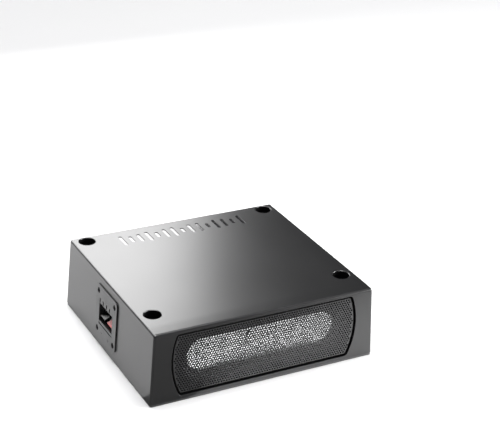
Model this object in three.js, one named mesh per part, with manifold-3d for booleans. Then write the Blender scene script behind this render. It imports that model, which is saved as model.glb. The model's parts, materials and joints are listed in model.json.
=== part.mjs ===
// Powered car subwoofer: a flat moulded box with a perforated front grille, an oblong
// front-firing driver, a two-lever push terminal on its left side and a small amplifier inside.
// Millimetres, +Z up. The grille faces -Y, the terminal faces -X, the box rests on its base plate.
import * as THREE from 'three';
import { mergeVertices } from 'three/addons/utils/BufferGeometryUtils.js';
import Module from 'manifold-3d';

const wasm = await Module();
wasm.setup();

// ---------------------------------------------------------------- driving dimensions
const width = 256; // along X, at the top
const depth = 232; // along Y, at the top
const height = 82; // along Z
const flareX = 4.3; // each side leans out by this much between the top and the underside
const flareY = 2.5;
const wall = 3;
const edgeRound = 2.5; // rounding of the top edges and the upright corners
const fit = 0.3; // clearance between neighbouring pieces
const slip = 0.1; // clearance between pieces that are screwed face to face

const left = -width / 2;
const right = width / 2;
const front = -depth / 2;
const back = depth / 2;

const baseWidth = width + 2 * flareX;
const baseDepth = depth + 2 * flareY;
const baseThickness = 2.3;
const shellBottom = baseThickness + fit;

// Corner bolt holes
const boltSpacingX = 224;
const boltSpacingY = 180;
const boltCentreY = 14; // the pattern sits behind the middle, because the driver takes the front
const boltBore = 9.25; // radius of the counterbore that the bolt head drops into
const towerRadius = 11.8;
const towerFloor = 8; // height of the counterbore's floor
const bushRadius = 4.5;
const bushBore = 3.5; // clears an M6 bolt
const boltPlaces = [-1, 1].flatMap((side) =>
  [-1, 1].map((end) => [(side * boltSpacingX) / 2, boltCentreY + (end * boltSpacingY) / 2]));

// Grille opening: flat top and bottom, sides bowed outwards on a large radius
const openingTop = 77.5;
const openingBottom = 6;
const openingHalfWidth = 109;
const bowRadius = 85;
const bowCentreZ = 45;
const openingCorner = 4;
const grilleSheet = 1;
const grilleFace = front + 1.2;
const grilleGap = 0.8; // shadow gap between the grille's edge and the opening

// Driver
const axisZ = (openingTop + openingBottom) / 2;
const trackHalf = 67.5; // half the straight run of every oblong outline
const flangeRadius = 31.5;
const surroundOuter = 28;
const coneRadius = 21.5;
const baffleFront = -102;
const baffleThickness = 8;
const flangeThickness = 2.6;
const gasketThickness = 0.5;
const flangeBack = baffleFront - gasketThickness - slip;
const flangeFront = flangeBack - flangeThickness;
const webFront = -86;
const webThickness = 2;
const coneRimY = flangeFront + 0.8;
const coneDepth = 9;
const neckY = coneRimY + coneDepth;
const formerRadius = 13;
const coilRadius = 13.7;
const polePlateY = -80;
const polePlateThickness = 5;
const magnetRadius = 27.5;
const magnetThickness = 15;
const backPlateThickness = 6;
const driverScrewPlaces = [-1, 1].flatMap((side) =>
  [[side * 88.5, -25.5], [side * 100.4, 0], [side * 88.5, 25.5]]);

// Push terminal on the left side. Its depths are measured inwards from the plate's outer face.
const terminalY = 2;
const terminalZ = 41.6;
const plateWidth = 56;
const plateHeight = 59.7;
const plateThickness = 1.1;
const terminalGasket = 0.4;
const plateFace = left - plateThickness - terminalGasket;
const windowHalf = 17.9;
const windowBottom = 26.4;
const windowTop = 51.3;
const windowDepth = 8;
const sillTop = 30.2; // a ledge along the window's foot, behind a narrow groove
const passageBottom = 36; // clears the lever at full travel
const housingHalf = 20.5;
const housingBottom = 23;
const housingTop = 62;
const housingWall = 1.7;
const housingBack = left + 19;
const tabEnd = housingBack + 6;
const leverPitch = 18;
const leverWidth = 12;
const pivotDepth = 11;
const pivotZ = 46;
const pinRadius = 1;
const slotPitch = 8.8;
const slotWidth = 2.4;
const slotHeight = 5;
const slotBottom = 52;
const terminalScrewHalfY = 21.5;
const terminalScrewHalfZ = 22.7;
const terminalLean = (Math.atan(flareX / height) * 180) / Math.PI; // degrees, as the side leans
const terminalSeat = [left - flareX * (1 - terminalZ / height), 0, terminalZ];
const leverPlaces = { black: terminalY + leverPitch / 2, red: terminalY - leverPitch / 2 };
const slotPlaces = [0, 1, 2, 3].map((i) => terminalY + windowHalf - slotWidth / 2 - i * slotPitch);

// Amplifier
const boardX = [-96, 24];
const boardY = [22, 98];
const boardZ = 15;
const boardThickness = 1.6;

// Base plate screws; the front one goes up into the baffle
const baseScrewPlaces = [
  [-125.2, -30], [125.2, -30], [-125.2, 62], [125.2, 62], [0, 111.6],
  [0, baffleFront + baffleThickness / 2],
];

// Level-bar motif sunk in the top face
const motifBars = 15;
const motifPitch = 10.6;
const motifBarWidth = 4;
const motifY = 90;
const motifDepth = 0.6;

// ---------------------------------------------------------------- materials
const material = (color, roughness, metalness) =>
  new THREE.MeshStandardMaterial({ color, roughness, metalness });
const satinBlack = material(0x3a3b3d, 0.4, 0.1);
const darkSteel = material(0x2c2d2f, 0.45, 0.8);
const rubber = material(0x161617, 0.8, 0);
const foam = material(0x232324, 0.95, 0);
const blackPlastic = material(0x1b1b1c, 0.5, 0);
const panelGrey = material(0x4a4b4d, 0.5, 0);
const redPlastic = material(0xc8202a, 0.4, 0);
const coneGrey = material(0xb9bbbe, 0.4, 0.6);
const steel = material(0x8d9094, 0.35, 0.9);
const ferrite = material(0x2a2a2c, 0.7, 0.1);
const copper = material(0xb86a3c, 0.35, 0.9);
const spiderCloth = material(0xb99a5b, 0.9, 0);
const boardGreen = material(0x1f5b3a, 0.5, 0);
const aluminium = material(0xa9acb0, 0.4, 0.8);
const fibreboard = material(0x6b533b, 0.85, 0);
const redWire = material(0xa81d22, 0.5, 0);
const blackWire = material(0x18181a, 0.5, 0);

// ---------------------------------------------------------------- geometry helpers
const object = new THREE.Group();

/** A closed geometry as a manifold-3d solid. */
function solid(geometry) {
  const bare = geometry.clone();
  bare.deleteAttribute('normal');
  bare.deleteAttribute('uv');
  const merged = mergeVertices(bare, 1e-4);
  return new wasm.Manifold(new wasm.Mesh({
    numProp: 3,
    vertProperties: merged.attributes.position.array,
    triVerts: new Uint32Array(merged.index.array),
  }));
}

/** A manifold-3d solid as a geometry. */
function geometryOf(manifold) {
  const made = manifold.getMesh();
  const geometry = new THREE.BufferGeometry();
  geometry.setAttribute('position', new THREE.BufferAttribute(made.vertProperties, 3));
  geometry.setIndex(new THREE.BufferAttribute(made.triVerts, 1));
  geometry.computeVertexNormals();
  return geometry;
}

/** Adds a named piece to the object. */
function piece(name, manifold, skin) {
  const mesh = new THREE.Mesh(geometryOf(manifold), skin);
  mesh.name = name;
  object.add(mesh);
  return mesh;
}

const union = (solids) => solids.reduce((whole, next) => whole.add(next));
const cut = (whole, tools) => tools.reduce((rest, tool) => rest.subtract(tool), whole);

/** A block between two corners. */
function block([x0, x1], [y0, y1], [z0, z1]) {
  const geometry = new THREE.BoxGeometry(x1 - x0, y1 - y0, z1 - z0);
  geometry.translate((x0 + x1) / 2, (y0 + y1) / 2, (z0 + z1) / 2);
  return solid(geometry);
}

/** Leans upright sides out towards the underside. */
const flared = (upright) => upright.warp((v) => {
  const share = 1 - v[2] / height;
  v[0] *= 1 + (share * flareX) / right;
  v[1] *= 1 + (share * flareY) / back;
});

/** Leans a piece of the front as the front face leans. */
const leant = (upright) => upright.warp((v) => {
  v[1] -= flareY * (1 - v[2] / height);
});

/** Moves a piece of the terminal from an upright side at x = left onto the leaning one. */
const seated = (upright) => upright.translate([-left, 0, -terminalZ])
  .rotate([0, terminalLean, 0]).translate(terminalSeat);

/** The same for one point. */
function seatedPoint([x, y, z]) {
  const turned = new THREE.Vector3(x - left, y, z - terminalZ)
    .applyAxisAngle(new THREE.Vector3(0, 1, 0), THREE.MathUtils.degToRad(terminalLean));
  return turned.add(new THREE.Vector3(...terminalSeat)).toArray();
}

/** Turns a shape's own axes into the object's: a shape for 'x' is drawn in (y, z), for 'y' in (x, z). */
const shapeAxes = {
  x: new THREE.Matrix4().makeBasis(
    new THREE.Vector3(0, 1, 0), new THREE.Vector3(0, 0, 1), new THREE.Vector3(1, 0, 0)),
  y: new THREE.Matrix4().makeBasis(
    new THREE.Vector3(1, 0, 0), new THREE.Vector3(0, 0, 1), new THREE.Vector3(0, -1, 0)),
  z: new THREE.Matrix4(),
};

/** A shape pulled along an axis from one coordinate to another. */
function prism(shape, axis, from, to, curveSegments = 6) {
  const geometry = new THREE.ExtrudeGeometry(shape, { depth: to - from, bevelEnabled: false, curveSegments });
  geometry.applyMatrix4(shapeAxes[axis]);
  const start = { x: [from, 0, 0], y: [0, to, 0], z: [0, 0, from] }[axis];
  geometry.translate(...start);
  return solid(geometry);
}

/** A round bar along an axis; centre is given in the shape's own plane. */
function bar(axis, centre, radius, from, to, segments = 16) {
  const points = [];
  for (let i = 0; i < segments; i++) {
    const angle = (2 * Math.PI * (i + 0.5)) / segments;
    points.push(new THREE.Vector2(
      centre[0] + radius * Math.cos(angle), centre[1] + radius * Math.sin(angle)));
  }
  return prism(new THREE.Shape(points), axis, from, to);
}

/** A solid of revolution about the driver's axis. Its profile is (radius, y) and closes on itself. */
function turned(profile, segments = 24) {
  const points = [...profile, profile[0]].map(([r, y]) => new THREE.Vector2(r, y));
  const area = points.slice(1).reduce(
    (sum, p, i) => sum + points[i].x * p.y - p.x * points[i].y, 0);
  if (area < 0) points.reverse();
  const geometry = new THREE.LatheGeometry(points, segments);
  geometry.translate(0, 0, axisZ);
  return solid(geometry);
}

/** A tapered round plug, such as a countersink, by its two ends' radii. */
function taper(axis, centre, from, fromRadius, to, toRadius, segments = 12) {
  const geometry = new THREE.CylinderGeometry(toRadius, fromRadius, to - from, segments);
  geometry.rotateX(Math.PI / 2); // along Z, with toRadius at the top
  geometry.translate(0, 0, (from + to) / 2);
  const axes = shapeAxes[axis].clone();
  if (axis === 'y') axes.scale(new THREE.Vector3(1, 1, -1));
  geometry.applyMatrix4(axes);
  if (axis === 'y') flipFaces(geometry);
  geometry.translate(...{
    x: [0, ...centre], y: [centre[0], 0, centre[1]], z: [...centre, 0] }[axis]);
  return solid(geometry);
}

/** Turns every face of an indexed geometry round. */
function flipFaces(geometry) {
  const index = geometry.index;
  for (let i = 0; i < index.count; i += 3) {
    const first = index.getX(i);
    index.setX(i, index.getX(i + 1));
    index.setX(i + 1, first);
  }
}

/** A wire along a smooth curve through points. */
function wire(points, radius, steps = 18, sides = 6) {
  const section = new THREE.Shape();
  section.absarc(0, 0, radius, 0, 2 * Math.PI);
  const path = new THREE.CatmullRomCurve3(points.map((p) => new THREE.Vector3(...p)));
  return solid(new THREE.ExtrudeGeometry(section, {
    extrudePath: path, steps, bevelEnabled: false, curveSegments: sides / 2 }));
}

// ---------------------------------------------------------------- outlines
/** A rectangle with round corners, drawn about (cx, cy). */
function roundedRect(w, h, radius, cx = 0, cy = 0) {
  const [x, y] = [w / 2 - radius, h / 2 - radius];
  const quarter = Math.PI / 2;
  const shape = new THREE.Shape();
  shape.absarc(cx + x, cy - y, radius, -quarter, 0);
  shape.absarc(cx + x, cy + y, radius, 0, quarter);
  shape.absarc(cx - x, cy + y, radius, quarter, 2 * quarter);
  shape.absarc(cx - x, cy - y, radius, 2 * quarter, 3 * quarter);
  return shape;
}

/** A racetrack: two half circles joined by straight runs, about the driver's axis. */
function racetrack(radius, half = trackHalf) {
  const shape = new THREE.Shape();
  shape.absarc(half, axisZ, radius, -Math.PI / 2, Math.PI / 2);
  shape.absarc(-half, axisZ, radius, Math.PI / 2, (3 * Math.PI) / 2);
  return shape;
}

/** The grille opening's outline, drawn smaller all round by inset. */
function openingOutline(inset = 0) {
  const corner = Math.max(openingCorner - inset, 1);
  const bow = bowRadius - inset;
  const bowCentreX = openingHalfWidth - bowRadius;
  const cornerAt = (z) => {
    const rise = z - bowCentreZ;
    const x = bowCentreX + Math.sqrt((bow - corner) ** 2 - rise ** 2);
    return { x, z, angle: Math.atan2(rise, x - bowCentreX) };
  };
  const low = cornerAt(openingBottom + inset + corner);
  const high = cornerAt(openingTop - inset - corner);
  const quarter = Math.PI / 2;
  const shape = new THREE.Shape();
  shape.absarc(low.x, low.z, corner, -quarter, low.angle);
  shape.absarc(bowCentreX, bowCentreZ, bow, low.angle, high.angle);
  shape.absarc(high.x, high.z, corner, high.angle, quarter);
  shape.absarc(-high.x, high.z, corner, quarter, 2 * quarter - high.angle);
  shape.absarc(-bowCentreX, bowCentreZ, bow, 2 * quarter - high.angle, 2 * quarter - low.angle);
  shape.absarc(-low.x, low.z, corner, 2 * quarter - low.angle, 3 * quarter);
  return shape;
}

/** A ring between two insets of the opening's outline. */
const openingRing = (outer, inner, from, to) =>
  prism(openingOutline(outer), 'y', from, to, 4)
    .subtract(prism(openingOutline(inner), 'y', from - 1, to + 1, 4));

/** A ring between two racetracks. */
const trackRing = (outer, inner, from, to) =>
  prism(racetrack(outer), 'y', from, to).subtract(prism(racetrack(inner), 'y', from - 1, to + 1));

// ---------------------------------------------------------------- enclosure
/** How high each bar of the motif is, as a share of the tallest. */
const motifShare = (i) => 0.42 + 0.58 * Math.abs(Math.sin((i + 1.5) * 1.1));

function motif() {
  return Array.from({ length: motifBars }, (_, i) => {
    const x = (i - (motifBars - 1) / 2) * motifPitch;
    const shape = roundedRect(motifBarWidth, 23 * motifShare(i), motifBarWidth / 2, x, motifY);
    return prism(shape, 'z', height - motifDepth, height + 1, 2);
  });
}

function enclosureShell() {
  const outline = roundedRect(width - 2 * edgeRound, depth - 2 * edgeRound, 0.5);
  const outerGeometry = new THREE.ExtrudeGeometry(outline, {
    depth: height - edgeRound, bevelEnabled: true, bevelThickness: edgeRound, bevelSize: edgeRound,
    bevelSegments: 3, curveSegments: 1 });
  const outer = flared(solid(outerGeometry).subtract(
    block([left - 5, right + 5], [front - 5, back + 5], [-10, shellBottom])));
  const hollow = flared(block(
    [left + wall, right - wall], [front + wall, back - wall], [-10, height - wall]));
  const towers = boltPlaces.flatMap(([x, y]) => [
    bar('z', [x, y], towerRadius, shellBottom, height - 1, 24),
    block([Math.min(x, x + Math.sign(x) * 18), Math.max(x, x + Math.sign(x) * 18)],
      [y - 2, y + 2], [shellBottom, height - 1]).intersect(outer),
  ]);
  const bosses = baseScrewPlaces.filter(([, y]) => y > baffleFront + baffleThickness)
    .map(([x, y]) => bar('z', [x, y], 4.4, shellBottom, 18, 12));
  const bores = boltPlaces.flatMap(([x, y]) => [
    bar('z', [x, y], boltBore, towerFloor, height + 1, 24),
    bar('z', [x, y], bushRadius + fit, 0, towerFloor + 1, 24),
  ]);
  const screwHoles = baseScrewPlaces.map(([x, y]) => bar('z', [x, y], 1.25, 0, 14, 8));
  const grilleOpening = prism(openingOutline(), 'y', front - flareY - 1, front + wall + 0.5, 4);
  const terminalOpening = seated(block([left - 1, left + wall + 1],
    [terminalY - housingHalf - fit, terminalY + housingHalf + fit],
    [housingBottom - fit, housingTop + fit]));
  const terminalHoles = terminalScrewPlaces().map(
    (place) => seated(bar('x', place, 1.4, left - 1, left + wall + 1, 8)));
  return cut(union([outer.subtract(hollow), ...towers, ...bosses]), [
    ...bores, ...screwHoles, grilleOpening, terminalOpening, ...terminalHoles, ...motif()]);
}

function basePlate() {
  const sheet = prism(roundedRect(baseWidth - 0.8, baseDepth - 0.8, 2.8), 'z', 0, baseThickness, 2);
  const boltHoles = boltPlaces.map(
    (place) => bar('z', place, bushBore, -1, baseThickness + 1, 24));
  const screwHoles = baseScrewPlaces.flatMap((place) => [
    bar('z', place, 1.7, -1, baseThickness + 1, 12),
    taper('z', place, -0.4, 3.6, 1.6, 1.6),
  ]);
  return cut(sheet, [...boltHoles, ...screwHoles]);
}

/** A thin flat gasket between the base plate and the shell's rim. */
function baseSeal() {
  const [low, high] = [baseThickness + 0.03, shellBottom - 0.03];
  return prism(roundedRect(baseWidth - 2, baseDepth - 2, 2), 'z', low, high, 1)
    .subtract(prism(roundedRect(baseWidth - 5, baseDepth - 5, 1), 'z', low - 1, high + 1, 1));
}

/** A countersunk screw pointing along +axis from its flat head. */
function countersunkScrew(axis, centre, from, headRadius, headDepth, shank, length) {
  return taper(axis, centre, from, headRadius, from + headDepth, shank)
    .add(bar(axis, centre, shank, from + headDepth - 0.1, from + length, 8));
}

/** A flanged steel sleeve that takes the bolt's clamping force past the plastic. */
function mountBush([x, y]) {
  const flangeUnder = towerFloor + 0.05;
  const sleeve = bar('z', [x, y], bushRadius, baseThickness + 0.05, flangeUnder + 0.5, 24);
  const flange = bar('z', [x, y], boltBore - 0.35, flangeUnder, flangeUnder + 1.5, 24);
  return sleeve.add(flange).subtract(bar('z', [x, y], bushBore, 0, flangeUnder + 3, 24));
}

function driverBaffle() {
  const [from, to] = [baffleFront, baffleFront + baffleThickness];
  const [low, high] = [shellBottom + slip, height - wall - fit];
  const halfAt = (z) => (right - wall) * (1 + ((1 - z / height) * flareX) / right) - fit;
  const outline = [[-1, low], [1, low], [1, high], [-1, high]].map(
    ([side, z]) => new THREE.Vector2(side * halfAt(z), z));
  const board = prism(new THREE.Shape(outline), 'y', from, to);
  const screwHoles = driverScrewPlaces.map(
    ([x, z]) => bar('y', [x, axisZ + z], 1.45, from - 1, to + 1, 8));
  const baseHole = bar('z', [0, (from + to) / 2], 1.25, 0, 11.5, 8);
  return cut(board, [prism(racetrack(28.7), 'y', from - 1, to + 1), ...screwHoles, baseHole]);
}

function grille() {
  const sheetBack = grilleFace + grilleSheet;
  return leant(prism(openingOutline(grilleGap), 'y', grilleFace, sheetBack, 4)
    .add(openingRing(grilleGap, grilleGap + 1, sheetBack - 0.1, sheetBack + 2.6)));
}

piece('enclosure_shell', enclosureShell(), satinBlack);
piece('base_plate', basePlate(), satinBlack);
piece('base_seal', baseSeal(), rubber);
boltPlaces.forEach((place, i) => piece(`mount_bush_${i + 1}`, mountBush(place), steel));
baseScrewPlaces.forEach((place, i) => piece(`base_screw_${i + 1}`,
  countersunkScrew('z', place, 0, 3.1, 1.4, 1.2, 11), darkSteel));
piece('driver_baffle', driverBaffle(), fibreboard);
piece('grille_frame', openingRing(grilleGap + 1.3, 3.6, grilleFace + 1.2, baffleFront - slip), blackPlastic);
piece('grille', grille(), darkSteel);

// ---------------------------------------------------------------- driver
/** Points round a racetrack: arcPoints on each half circle and runPoints on each straight run. */
function trackPoints(radius, half, arcPoints = 8, runPoints = 3) {
  const points = [];
  for (const side of [1, -1]) {
    for (let i = 0; i <= arcPoints; i++) {
      const angle = side * (-Math.PI / 2 + (Math.PI * i) / arcPoints);
      points.push([side * half + radius * Math.cos(angle) * side, radius * Math.sin(angle)]);
    }
    for (let i = 1; i <= runPoints; i++) {
      points.push([side * half * (1 - (2 * i) / (runPoints + 1)), side * radius]);
    }
  }
  return points;
}

/** The same points brought onto a circle, each on its own side of the coil. */
function neckPoints(radius) {
  return trackPoints(coneRadius, trackHalf).map(([x, z]) => {
    const angle = Math.atan2(z / coneRadius, x / (trackHalf + coneRadius));
    return [radius * Math.cos(angle), radius * Math.sin(angle)];
  });
}

/** A closed skin through rings of points that meet again at the first ring; a ring is [points, y]. */
function loft(rings) {
  const count = rings[0][0].length;
  const positions = rings.flatMap(([points, y]) => points.flatMap(([x, z]) => [x, y, axisZ + z]));
  const index = [];
  rings.forEach((_, k) => {
    const next = (k + 1) % rings.length;
    for (let i = 0; i < count; i++) {
      const j = (i + 1) % count;
      const [a, b, c, d] = [k * count + i, k * count + j, next * count + j, next * count + i];
      index.push(a, b, c, a, c, d);
    }
  });
  const geometry = new THREE.BufferGeometry();
  geometry.setAttribute('position', new THREE.Float32BufferAttribute(positions, 3));
  geometry.setIndex(index);
  return solid(geometry);
}

/** An oblong rim drawn down to a round neck, open in the middle. */
function cone() {
  const skin = 0.8;
  const rim = trackPoints(coneRadius, trackHalf);
  const mix = (share) => rim.map(([x, z], i) => {
    const [nx, nz] = neckPoints(formerRadius + 0.3)[i];
    return [x + (nx - x) * share, z + (nz - z) * share];
  });
  const shares = [0, 0.35, 0.7, 1];
  const level = (share) => coneRimY + coneDepth * (1 - (1 - share) ** 1.4);
  const face = shares.map((share) => [mix(share), level(share)]);
  const rear = shares.map((share) => [mix(share), level(share) + skin]).reverse();
  return loft([...face, ...rear]);
}

/** A half roll round the cone, with a land on the frame's flange and one on the cone's edge. */
function surround() {
  const skin = 0.6;
  const [rollOut, rollIn] = [surroundOuter - 0.3, coneRadius + 0.6];
  const middle = (rollOut + rollIn) / 2;
  const span = (rollOut - rollIn) / 2;
  const base = flangeFront - 0.1 - skin;
  const crest = [0, 1, 2, 3, 4].map((i) => {
    const angle = (Math.PI * i) / 4;
    return [middle + span * Math.cos(angle), base - 4 * Math.sin(angle)];
  });
  const line = [[29.6, base], ...crest, [coneRadius - 2.4, base]];
  const faces = line.map(([r, y]) => [trackPoints(r, trackHalf), y]);
  const rears = line.map(([r, y]) => [trackPoints(r, trackHalf), y + skin]).reverse();
  return loft([...faces, ...rears]);
}

/** Shallow inward dome that closes the neck. */
function dustCap() {
  const rimY = neckY - 0.5;
  const line = [[0, rimY + 2.4], [5, rimY + 2], [9, rimY + 1.1], [12.2, rimY]];
  const rear = line.map(([r, y]) => [r, y - 0.6]).reverse();
  return turned([...line, ...rear]);
}

/** Corrugated suspension disc from the coil former out to the frame's web. */
function spider() {
  const [inner, outer] = [formerRadius + 0.2, 25.2];
  const [outerY, innerY] = [webFront - 0.7, webFront - 4];
  const waves = Array.from({ length: 9 }, (_, i) => {
    const share = i / 8;
    const ripple = i > 0 && i < 8 ? 0.8 * (i % 2 ? -1 : 1) : 0;
    return [outer - 2 - (outer - 2 - inner) * share, outerY + (innerY - outerY) * share + ripple];
  });
  const line = [[outer, outerY], ...waves];
  return turned([...line, ...line.map(([r, y]) => [r, y + 0.6]).reverse()], 18);
}

const tube = (inner, outer, from, to, segments = 24) =>
  turned([[inner, from], [outer, from], [outer, to], [inner, to]], segments);

function driverFrame() {
  const ears = driverScrewPlaces.map(
    ([x, z]) => bar('y', [x, axisZ + z], 4.6, flangeFront, flangeBack, 16));
  const webBack = webFront + webThickness;
  const body = union([
    prism(racetrack(flangeRadius), 'y', flangeFront, flangeBack), ...ears,
    prism(racetrack(28.2), 'y', flangeBack - 0.1, webBack),
    tube(10, 24.5, webBack - 0.1, polePlateY - slip),
  ]);
  const windows = [-1, 1].map((side) =>
    prism(roundedRect(24, 38, 6, side * 43, axisZ), 'y', webFront - 1, webBack + 1, 3));
  const screwHoles = driverScrewPlaces.map(
    ([x, z]) => bar('y', [x, axisZ + z], 1.9, flangeFront - 1, flangeBack + 1, 8));
  const rivetHoles = tagPlaces.map((x) => bar('y', [x, axisZ], 1.6, webFront - 1, webBack + 1, 8));
  return cut(body, [
    prism(racetrack(26.4), 'y', flangeFront - 1, webFront),
    tube(0, 20.5, webFront - 1, polePlateY + 1),
    ...windows, ...screwHoles, ...rivetHoles,
  ]);
}

/** Solder tags on the frame's web, with the rivets that the flexible leads end on. */
const tagPlaces = [63, 74];
function tagStrip() {
  const webBack = webFront + webThickness;
  const plate = block([58, 79], [webBack + slip, webBack + 1.6], [axisZ - 7, axisZ + 7]);
  const tags = tagPlaces.map(
    (x) => block([x - 1.6, x + 1.6], [webBack + 1.5, webBack + 7], [axisZ - 0.4, axisZ + 0.4]));
  const rivets = tagPlaces.map((x) => bar('y', [x, axisZ], 1.3, webFront - 0.8, webBack + 1, 8));
  return union([plate, ...tags, ...rivets]);
}

/** Flexible lead from the coil former to a tag's rivet, above or below the axis. */
function tinselLead(side, tagX) {
  const start = formerRadius + 0.6;
  const y = neckY + 3.2;
  return wire([
    [start, y, axisZ + side * 3], [start + 10, y + 3, axisZ + side * 6],
    [start + 26, y + 1.4, axisZ + side * 7], [tagX - 10, y + 3.4, axisZ + side * 5],
    [tagX - 2, webFront - 2.2, axisZ + side * 1.2], [tagX, webFront - 1.2, axisZ],
  ], 0.5);
}

piece('driver_frame', driverFrame(), blackPlastic);
piece('driver_gasket', trackRing(flangeRadius - 0.3, 28.9, flangeBack + 0.05, baffleFront - 0.05), foam);
driverScrewPlaces.forEach(([x, z], i) => piece(`driver_screw_${i + 1}`,
  bar('y', [x, axisZ + z], 3.2, flangeFront - 1.9, flangeFront - 0.05, 12)
    .add(bar('y', [x, axisZ + z], 1.35, flangeFront - 0.1, flangeFront + 13, 8)), darkSteel));
piece('surround', surround(), rubber);
piece('cone', cone(), coneGrey);
piece('dust_cap', dustCap(), coneGrey);
piece('coil_former', tube(12.6, formerRadius, neckY + 0.9, -72), aluminium);
piece('voice_coil', tube(formerRadius + 0.05, coilRadius, -84.5, -72.5), copper);
piece('spider', spider(), spiderCloth);
piece('front_pole_plate', tube(14.5, 25.5, polePlateY, polePlateY + polePlateThickness), steel);
const magnetFront = polePlateY + polePlateThickness + slip;
const magnetBack = magnetFront + magnetThickness;
piece('magnet', tube(17, magnetRadius, magnetFront, magnetBack), ferrite);
const backPlateFront = magnetBack + slip;
const backPlateBack = backPlateFront + backPlateThickness;
piece('back_plate', turned([[4, polePlateY], [11.8, polePlateY], [11.8, backPlateFront],
  [25.5, backPlateFront], [25.5, backPlateBack], [4, backPlateBack]]), steel);
piece('tag_strip', tagStrip(), fibreboard);
piece('tinsel_lead_plus', tinselLead(1, tagPlaces[1]), copper);
piece('tinsel_lead_minus', tinselLead(-1, tagPlaces[0]), copper);

// ---------------------------------------------------------------- push terminal
function terminalScrewPlaces() {
  return [-1, 1].flatMap((side) => [-1, 1].map((end) => [
    terminalY + side * terminalScrewHalfY, terminalZ + end * terminalScrewHalfZ]));
}

/** Front panel and housing in one moulding, open at the back. */
function terminalPlate() {
  const panelBack = plateFace + plateThickness;
  const wallFront = plateFace + windowDepth;
  const wallBack = wallFront + housingWall;
  const panel = prism(
    roundedRect(plateWidth, plateHeight, 5.5, terminalY, terminalZ), 'x', plateFace, panelBack, 3);
  const housing = block([panelBack - 0.1, housingBack],
    [terminalY - housingHalf, terminalY + housingHalf], [housingBottom, housingTop]);
  const recess = block([plateFace - 1, wallFront],
    [terminalY - windowHalf, terminalY + windowHalf], [windowBottom, windowTop])
    .subtract(block([plateFace + 0.5, wallFront + 1],
      [terminalY - windowHalf - 1, terminalY + windowHalf + 1], [windowBottom + 0.6, sillTop]));
  const inside = block([wallBack, housingBack + 1],
    [terminalY - housingHalf + housingWall, terminalY + housingHalf - housingWall],
    [housingBottom + housingWall, housingTop - housingWall]);
  const passages = Object.values(leverPlaces).map((y) => block([wallFront - 0.5, wallBack + 0.5],
    [y - leverWidth / 2 - 0.6, y + leverWidth / 2 + 0.6], [passageBottom, windowTop]));
  const wirePorts = Object.values(leverPlaces).map(
    (y) => bar('x', [y, 32.6], 2, wallFront - 1, wallBack + 1, 12));
  const slots = slotPlaces.map((y) => block([plateFace - 1, wallBack + 1],
    [y - slotWidth / 2, y + slotWidth / 2], [slotBottom, slotBottom + slotHeight]));
  const pinHole = bar('y', [plateFace + pivotDepth, pivotZ], pinRadius + 0.15,
    terminalY - housingHalf - 1, terminalY + housingHalf + 1, 12);
  const screwHoles = terminalScrewPlaces().flatMap((place) => [
    bar('x', place, 1.8, plateFace - 1, panelBack + 1, 12),
    taper('x', place, plateFace - 0.3, 4.15, plateFace + 1.1, 1.7),
  ]);
  return cut(panel.add(housing), [
    recess, inside, ...passages, ...wirePorts, ...slots, pinHole, ...screwHoles]);
}

/** The lever's side outline as (depth behind the plate's face, z), from its tip round its pivot. */
const leverOutline = [
  [1.1, 36.1], [1.1, 37.3], [8.6, 41.5], [9.4, 43.6], [9, 45], [9, 47.2], [10.2, 48.2],
  [11.8, 48.2], [13, 47.2], [13.3, 45], [13.6, 41.6], [12.4, 41.4], [11.4, 43.2], [9.8, 39.9],
  [8.2, 39], [1.7, 35.7],
];

/** A finger lever that turns on the pin. */
function lever(y) {
  const outline = new THREE.Shape(
    leverOutline.map(([d, z]) => new THREE.Vector2(plateFace + d, z)));
  return prism(outline, 'y', y - leverWidth / 2, y + leverWidth / 2)
    .subtract(bar('y', [plateFace + pivotDepth, pivotZ], pinRadius + 0.12,
      y - leverWidth, y + leverWidth, 16));
}

/** A strip of even thickness laid along the left of an open line of points. */
function strip(line, thickness) {
  const offset = line.map(([u, v], i) => {
    const [a, b] = [line[Math.max(i - 1, 0)], line[Math.min(i + 1, line.length - 1)]];
    const length = Math.hypot(b[0] - a[0], b[1] - a[1]);
    return [u - ((b[1] - a[1]) / length) * thickness, v + ((b[0] - a[0]) / length) * thickness];
  });
  return new THREE.Shape([...line, ...offset.reverse()].map(([u, v]) => new THREE.Vector2(u, v)));
}

/** Contact leaf that pushes the lever's inner arm forwards, with a tab out of the back. */
function clipSpring(y) {
  const line = [[10.6, 25.3], [17.2, 25.3], [18, 26.1], [17.6, 37], [14.4, 41.6], [14.3, 42.8],
    [15.6, 45.4]].map(([d, z]) => [plateFace + d, z]);
  const tab = block([plateFace + 17.6, tabEnd], [y - 2, y + 2], [30, 30.8]);
  return prism(strip(line, 0.4), 'y', y - 4, y + 4).add(tab);
}

function terminalCover() {
  const [from, to] = [housingBack + slip, housingBack + 1.7];
  const sheet = block([from, to], [terminalY - housingHalf + 0.2, terminalY + housingHalf - 0.2],
    [housingBottom + 0.2, housingTop - 0.2]);
  const tabSlots = Object.values(leverPlaces).map(
    (y) => block([from - 1, to + 1], [y - 2.6, y + 2.6], [29.4, 31.4]));
  const cableHole = bar('x', [terminalY + 4, 56], 2.8, from - 1, to + 1, 12);
  return cut(sheet, [...tabSlots, cableHole]);
}

/** Four flat blades in a carrier, one behind each slot of the panel. */
function signalSocket() {
  const wallBack = plateFace + windowDepth + housingWall;
  const carrier = block([wallBack + 0.2, wallBack + 6],
    [slotPlaces[3] - 2, Math.min(slotPlaces[0] + 1.6, terminalY + housingHalf - housingWall - 0.1)],
    [slotBottom + 0.2, slotBottom + slotHeight - 0.2]);
  const blades = slotPlaces.map((y) => block([plateFace + 4, wallBack + 0.5],
    [y - 0.4, y + 0.4], [slotBottom + 0.8, slotBottom + slotHeight - 0.8]));
  return union([carrier, ...blades]);
}

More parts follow.
